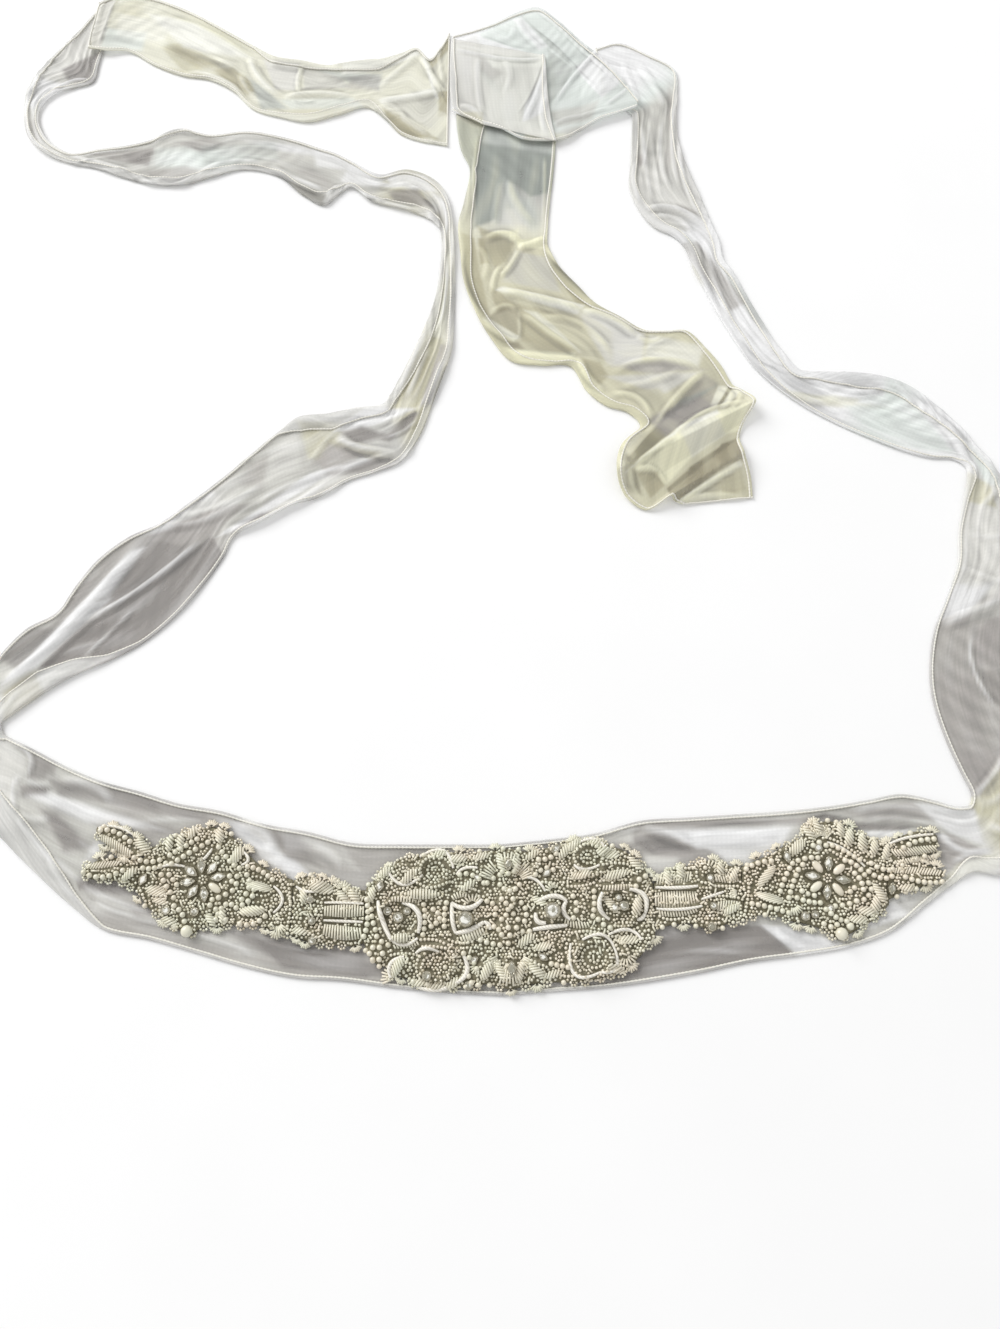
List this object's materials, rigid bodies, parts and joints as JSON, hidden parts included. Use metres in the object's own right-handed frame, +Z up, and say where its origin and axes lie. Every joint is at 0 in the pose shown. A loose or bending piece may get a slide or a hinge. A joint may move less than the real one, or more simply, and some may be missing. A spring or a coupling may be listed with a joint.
{
  "type": "bridal sash",
  "caption": "Sheer organza ribbon sash laid out flat in loops and folds, with rolled hems and a long beaded applique along its middle band.",
  "frame": {"origin": "bottom centre of the sash's bounding box, on the surface it lies on", "axes": "+X along the beaded band to the right, +Y away from the band towards the large fold, +Z up from the surface"},
  "size_m": [0.755, 0.8054, 0.0116],
  "materials": {
    "organza": "sheer woven organza, soft satin sheen",
    "hem_thread": "overlocked polyester thread over a rolled edge",
    "beadwork": "dense pearl and glass beadwork on net",
    "bead_net": "fine net backing with couching thread",
    "pearls": "pearlescent coating",
    "seed_beads": "lustred glass seed beads",
    "bugle_beads": "satin glass bugle beads",
    "cord": "twisted silk cord, couched down",
    "stones": "foiled, facetted glass stones",
    "settings": "silver-plated claw settings, slightly tarnished"
  },
  "bodies": {
    "root": {"band": "organza", "left_turn": "organza", "left_tail_lower": "organza", "left_tail_upper": "organza", "left_return": "organza", "left_loop": "organza", "top_run": "organza", "left_end": "organza", "right_turn": "organza", "right_tail_lower": "organza", "right_tail_middle": "organza", "right_tail_upper": "organza", "shoulder": "organza", "top_fold_back": "organza", "top_fold_front": "organza", "fall_upper": "organza", "fall_lower": "organza", "pleated_end": "organza", "medallion": "beadwork", "link_left": "beadwork", "link_right": "beadwork", "motif_left": "beadwork", "motif_right": "beadwork", "leaf_left_far": "beadwork", "leaf_left_near": "beadwork", "leaf_right_far": "beadwork", "leaf_right_near": "beadwork"}
  },
  "joints": []
}
